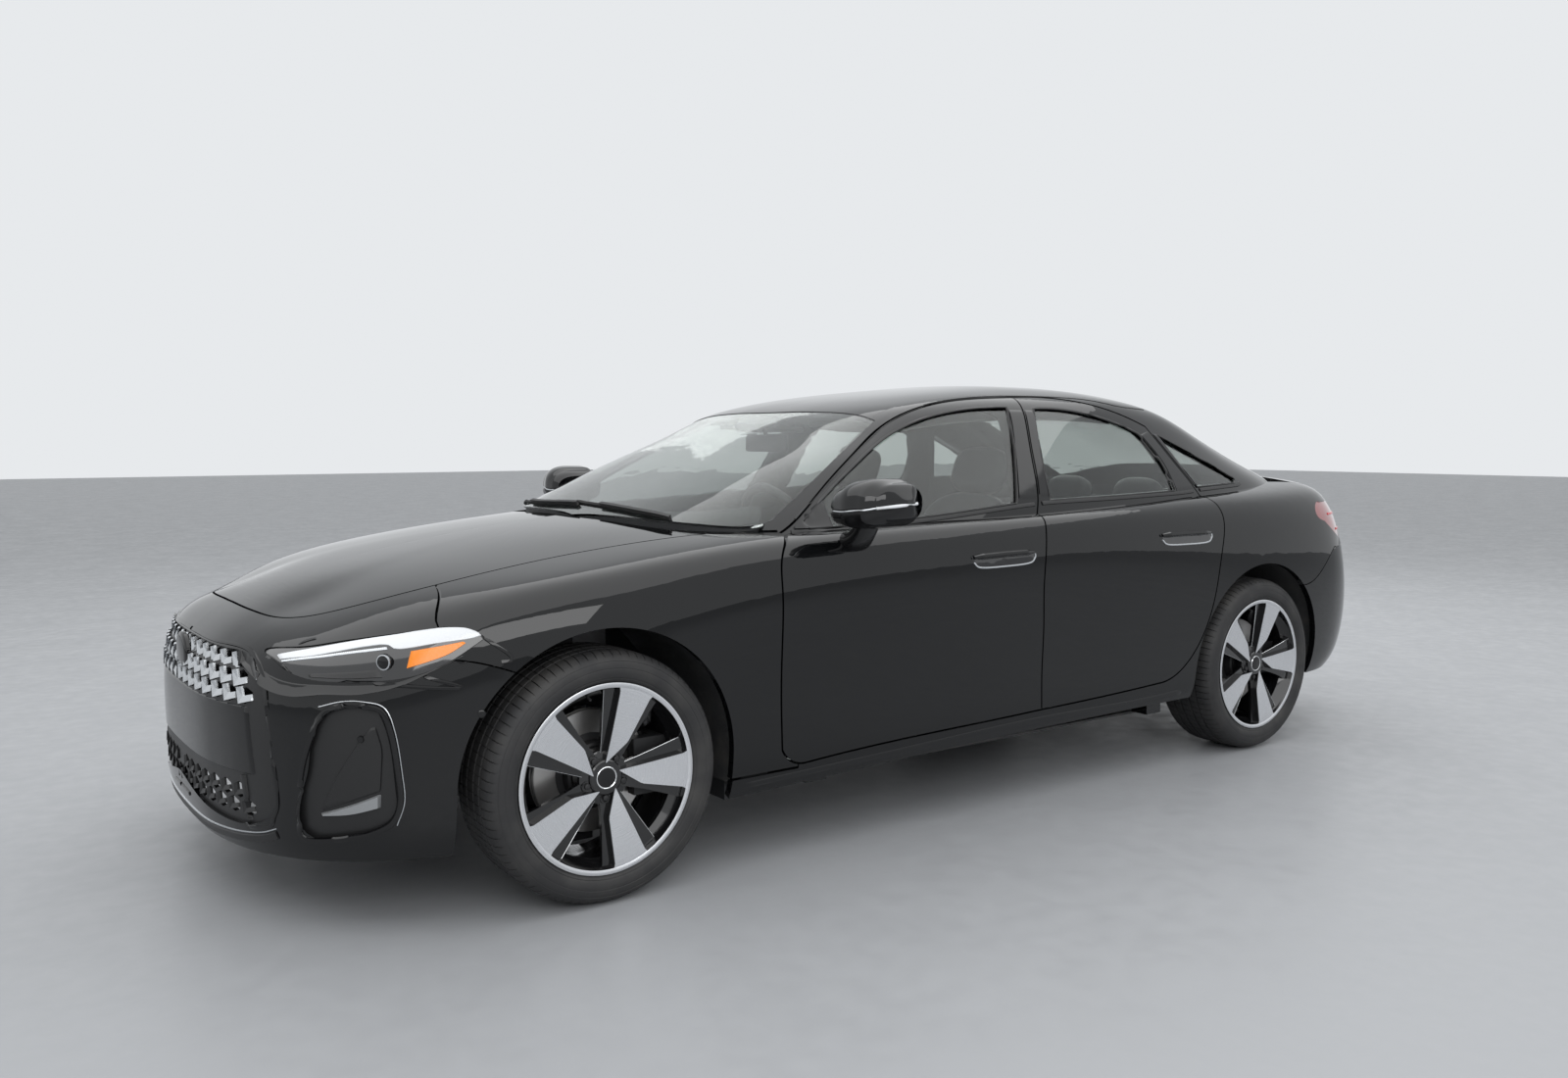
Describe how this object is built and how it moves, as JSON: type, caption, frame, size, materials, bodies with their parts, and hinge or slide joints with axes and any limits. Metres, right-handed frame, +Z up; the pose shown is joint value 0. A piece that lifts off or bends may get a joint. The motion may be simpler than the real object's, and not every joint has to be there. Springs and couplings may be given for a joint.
{
  "type": "sedan car",
  "caption": "Mid-size four-door sedan with a sloping tail, opening doors, hood and tailgate, steered front wheels and a hollow cabin.",
  "frame": {"origin": "on the ground, under the middle of the car's box", "axes": "+X rearwards, +Y to the car's right, +Z up"},
  "size_m": [4.8181, 2.21, 1.4419],
  "materials": {
    "body_paint": "gloss black clear-coated paint",
    "window_glass": "clear tinted glass",
    "trim_black": "gloss black plastic",
    "lamp_lens": "clear lens",
    "tail_lens": "red lens",
    "under_body": "matt black",
    "structure_steel": "satin dark primer",
    "engine_metal": "cast, dull",
    "suspension_steel": "black coated steel",
    "rim_metal": "machined face with gloss black pockets",
    "tyre_rubber": "matt rubber",
    "exhaust_steel": "brushed, heat dulled",
    "seat_leather": "fine grain, dark grey",
    "cabin_plastic": "soft grained"
  },
  "bodies": {
    "shell": {"floor_pan": "under_body", "bulkhead": "structure_steel", "engine_block": "engine_metal", "arch_liners": "under_body", "front_suspension": "suspension_steel", "rear_suspension": "suspension_steel", "exhaust": "exhaust_steel", "dashboard": "cabin_plastic", "front_seats": "seat_leather", "rear_seat": "seat_leather", "side_frame_left": "body_paint", "side_frame_right": "body_paint", "quarter_glasses": "window_glass", "roof_panel": "body_paint", "windscreen": "window_glass", "fender_left": "body_paint", "fender_right": "body_paint", "front_bumper": "body_paint", "rear_bumper": "body_paint", "grilles": "trim_black", "headlamps": "lamp_lens", "tail_lamps": "tail_lens"},
    "hood": {"hood": "body_paint"},
    "tailgate": {"tailgate": "body_paint", "backlight": "window_glass"},
    "steering_wheel": {"steering_wheel": "seat_leather"},
    "door_front_left": {"door_front_left": "body_paint", "glass_front_left": "window_glass", "mirror_left": "trim_black"},
    "door_rear_left": {"door_rear_left": "body_paint", "glass_rear_left": "window_glass"},
    "knuckle_left": {"knuckle_left": "suspension_steel"},
    "wheel_front_left": {"wheel_front_left": "rim_metal", "tyre_front_left": "tyre_rubber"},
    "wheel_rear_left": {"wheel_rear_left": "rim_metal", "tyre_rear_left": "tyre_rubber"},
    "door_front_right": {"door_front_right": "body_paint", "glass_front_right": "window_glass", "mirror_right": "trim_black"},
    "door_rear_right": {"door_rear_right": "body_paint", "glass_rear_right": "window_glass"},
    "knuckle_right": {"knuckle_right": "suspension_steel"},
    "wheel_front_right": {"wheel_front_right": "rim_metal", "tyre_front_right": "tyre_rubber"},
    "wheel_rear_right": {"wheel_rear_right": "rim_metal", "tyre_rear_right": "tyre_rubber"}
  },
  "joints": [
    {"name": "door_front_left_swing", "type": "hinge", "parent": "shell", "child": "door_front_left", "pos_m": [-0.955, -0.912, 0.6], "axis": [0, 0, -1], "range_deg": [0, 66]},
    {"name": "door_rear_left_swing", "type": "hinge", "parent": "shell", "child": "door_rear_left", "pos_m": [0.128, -0.912, 0.6], "axis": [0, 0, -1], "range_deg": [0, 66]},
    {"name": "door_front_right_swing", "type": "hinge", "parent": "shell", "child": "door_front_right", "pos_m": [-0.955, 0.912, 0.6], "axis": [0, 0, 1], "range_deg": [0, 66]},
    {"name": "door_rear_right_swing", "type": "hinge", "parent": "shell", "child": "door_rear_right", "pos_m": [0.128, 0.912, 0.6], "axis": [0, 0, 1], "range_deg": [0, 66]},
    {"name": "hood_lift", "type": "hinge", "parent": "shell", "child": "hood", "pos_m": [-1.01, 0, 0.955], "axis": [0, 1, 0], "range_deg": [0, 48]},
    {"name": "tailgate_lift", "type": "hinge", "parent": "shell", "child": "tailgate", "pos_m": [1.085, 0, 1.395], "axis": [0, -1, 0], "range_deg": [0, 66]},
    {"name": "steer_left", "type": "hinge", "parent": "shell", "child": "knuckle_left", "pos_m": [-1.5345, -0.7, 0.45], "axis": [0, 0, 1], "range_deg": [-35, 35]},
    {"name": "steer_right", "type": "hinge", "parent": "shell", "child": "knuckle_right", "pos_m": [-1.5345, 0.7, 0.45], "axis": [0, 0, 1], "range_deg": [-35, 35]},
    {"name": "steering_wheel_turn", "type": "hinge", "parent": "shell", "child": "steering_wheel", "pos_m": [-0.6, -0.37, 0.905], "axis": [0.9205, 0, 0.3907], "range_deg": [-460, 460]},
    {"name": "wheel_front_left_spin", "type": "hinge", "parent": "knuckle_left", "child": "wheel_front_left", "pos_m": [-1.5345, -0.7925, 0.3393], "axis": [0, 1, 0], "continuous": true},
    {"name": "wheel_rear_left_spin", "type": "hinge", "parent": "shell", "child": "wheel_rear_left", "pos_m": [1.3605, -0.7925, 0.3393], "axis": [0, 1, 0], "continuous": true},
    {"name": "wheel_front_right_spin", "type": "hinge", "parent": "knuckle_right", "child": "wheel_front_right", "pos_m": [-1.5345, 0.7925, 0.3393], "axis": [0, 1, 0], "continuous": true},
    {"name": "wheel_rear_right_spin", "type": "hinge", "parent": "shell", "child": "wheel_rear_right", "pos_m": [1.3605, 0.7925, 0.3393], "axis": [0, 1, 0], "continuous": true}
  ],
  "couplings": [
    {"joint": "steer_right", "follows": "steer_left", "ratio": 1},
    {"joint": "steering_wheel_turn", "follows": "steer_left", "ratio": 13}
  ]
}
